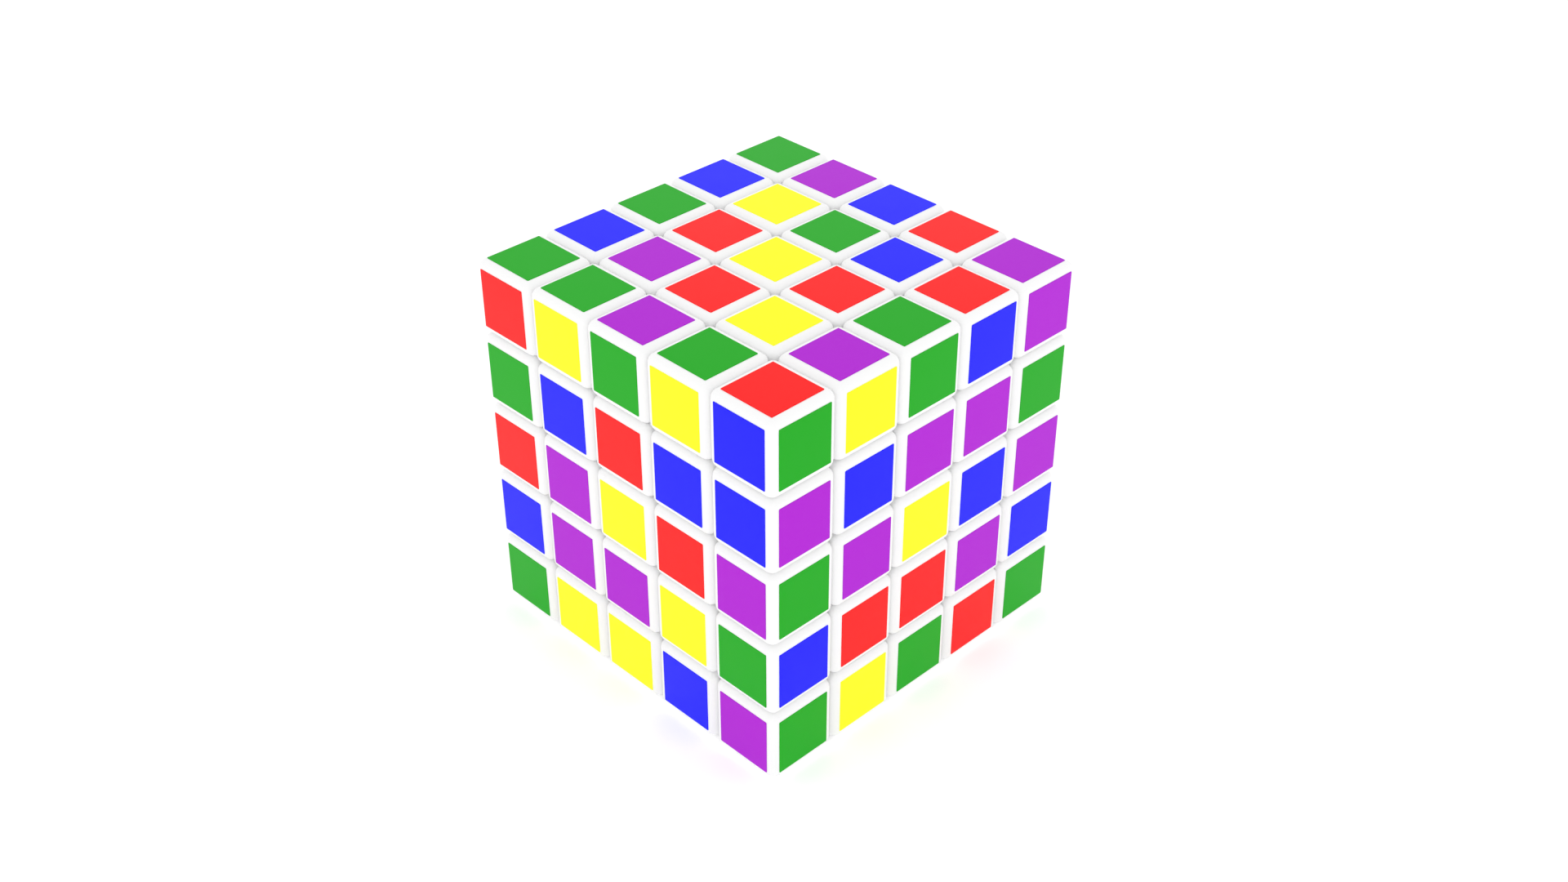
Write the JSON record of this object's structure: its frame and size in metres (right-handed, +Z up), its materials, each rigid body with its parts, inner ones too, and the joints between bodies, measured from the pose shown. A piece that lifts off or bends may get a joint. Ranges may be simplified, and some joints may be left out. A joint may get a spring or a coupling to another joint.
{
  "type": "twisty puzzle cube",
  "caption": "Five-layer twisty puzzle cube of white rounded cubies with coloured square stickers, whose layers turn about the vertical axis on a hidden sprung core.",
  "frame": {"origin": "the cube's centre, where every turning axis meets", "axes": "+Z up through the top face, the front face to -Y and the right face to +X"},
  "size_m": [0.063, 0.063, 0.063],
  "materials": {
    "white_plastic": "satin",
    "core_plastic": "satin",
    "steel": "satin",
    "sticker_red": "satin",
    "sticker_green": "satin",
    "sticker_blue": "satin",
    "sticker_yellow": "satin",
    "sticker_purple": "satin"
  },
  "bodies": {
    "middle_slice_and_core": {"middle_front_left": "white_plastic", "middle_front_right": "white_plastic", "middle_back_left": "white_plastic", "middle_back_right": "white_plastic", "core_spider": "core_plastic", "core_shell_upper": "core_plastic", "core_shell_lower": "core_plastic", "screw_right": "steel", "screw_left": "steel", "screw_back": "steel", "screw_front": "steel", "screw_top": "steel", "screw_bottom": "steel", "spring_right": "steel", "spring_left": "steel", "spring_back": "steel", "spring_front": "steel", "spring_top": "steel", "spring_bottom": "steel"},
    "top_layer": {"corner_top_front_left": "white_plastic", "corner_top_front_right": "white_plastic", "corner_top_back_left": "white_plastic", "corner_top_back_right": "white_plastic", "edge_top_front": "white_plastic", "edge_top_left": "white_plastic", "edge_top_back": "white_plastic", "edge_top_right": "white_plastic", "inner_top_front": "white_plastic", "inner_top_back": "white_plastic"},
    "upper_slice": {"slice_upper_front": "white_plastic", "slice_upper_left": "white_plastic", "slice_upper_back": "white_plastic", "slice_upper_right": "white_plastic"},
    "lower_slice": {"slice_lower_front": "white_plastic", "slice_lower_left": "white_plastic", "slice_lower_back": "white_plastic", "slice_lower_right": "white_plastic"},
    "bottom_layer": {"corner_bottom_front_left": "white_plastic", "corner_bottom_front_right": "white_plastic", "corner_bottom_back_left": "white_plastic", "corner_bottom_back_right": "white_plastic", "edge_bottom_front": "white_plastic", "edge_bottom_left": "white_plastic", "edge_bottom_back": "white_plastic", "edge_bottom_right": "white_plastic", "inner_bottom_front": "white_plastic", "inner_bottom_back": "white_plastic"},
    "centre_right": {"centre_right": "white_plastic", "cap_right": "white_plastic"},
    "centre_left": {"centre_left": "white_plastic", "cap_left": "white_plastic"},
    "centre_back": {"centre_back": "white_plastic", "cap_back": "white_plastic"},
    "centre_front": {"centre_front": "white_plastic", "cap_front": "white_plastic"},
    "centre_top": {"centre_top": "white_plastic", "cap_top": "white_plastic"},
    "centre_bottom": {"centre_bottom": "white_plastic", "cap_bottom": "white_plastic"}
  },
  "joints": [
    {"name": "turn_top_layer", "type": "hinge", "parent": "middle_slice_and_core", "child": "top_layer", "pos_m": [0, 0, 0], "axis": [0, 0, 1], "continuous": true},
    {"name": "turn_upper_slice", "type": "hinge", "parent": "middle_slice_and_core", "child": "upper_slice", "pos_m": [0, 0, 0], "axis": [0, 0, 1], "continuous": true},
    {"name": "turn_lower_slice", "type": "hinge", "parent": "middle_slice_and_core", "child": "lower_slice", "pos_m": [0, 0, 0], "axis": [0, 0, 1], "continuous": true},
    {"name": "turn_bottom_layer", "type": "hinge", "parent": "middle_slice_and_core", "child": "bottom_layer", "pos_m": [0, 0, 0], "axis": [0, 0, 1], "continuous": true},
    {"name": "lift_centre_right", "type": "slide", "parent": "middle_slice_and_core", "child": "centre_right", "axis": [1, 0, 0], "range_m": [0, 0.0008], "stiffness_N_per_m": 400, "springref_m": -0.0025, "deforming": ["spring_right"]},
    {"name": "lift_centre_left", "type": "slide", "parent": "middle_slice_and_core", "child": "centre_left", "axis": [-1, 0, 0], "range_m": [0, 0.0008], "stiffness_N_per_m": 400, "springref_m": -0.0025, "deforming": ["spring_left"]},
    {"name": "lift_centre_back", "type": "slide", "parent": "middle_slice_and_core", "child": "centre_back", "axis": [0, 1, 0], "range_m": [0, 0.0008], "stiffness_N_per_m": 400, "springref_m": -0.0025, "deforming": ["spring_back"]},
    {"name": "lift_centre_front", "type": "slide", "parent": "middle_slice_and_core", "child": "centre_front", "axis": [0, -1, 0], "range_m": [0, 0.0008], "stiffness_N_per_m": 400, "springref_m": -0.0025, "deforming": ["spring_front"]},
    {"name": "lift_centre_top", "type": "slide", "parent": "top_layer", "child": "centre_top", "axis": [0, 0, 1], "range_m": [0, 0.0008], "stiffness_N_per_m": 400, "springref_m": -0.0025, "deforming": ["spring_top"]},
    {"name": "lift_centre_bottom", "type": "slide", "parent": "bottom_layer", "child": "centre_bottom", "axis": [0, 0, -1], "range_m": [0, 0.0008], "stiffness_N_per_m": 400, "springref_m": -0.0025, "deforming": ["spring_bottom"]}
  ]
}
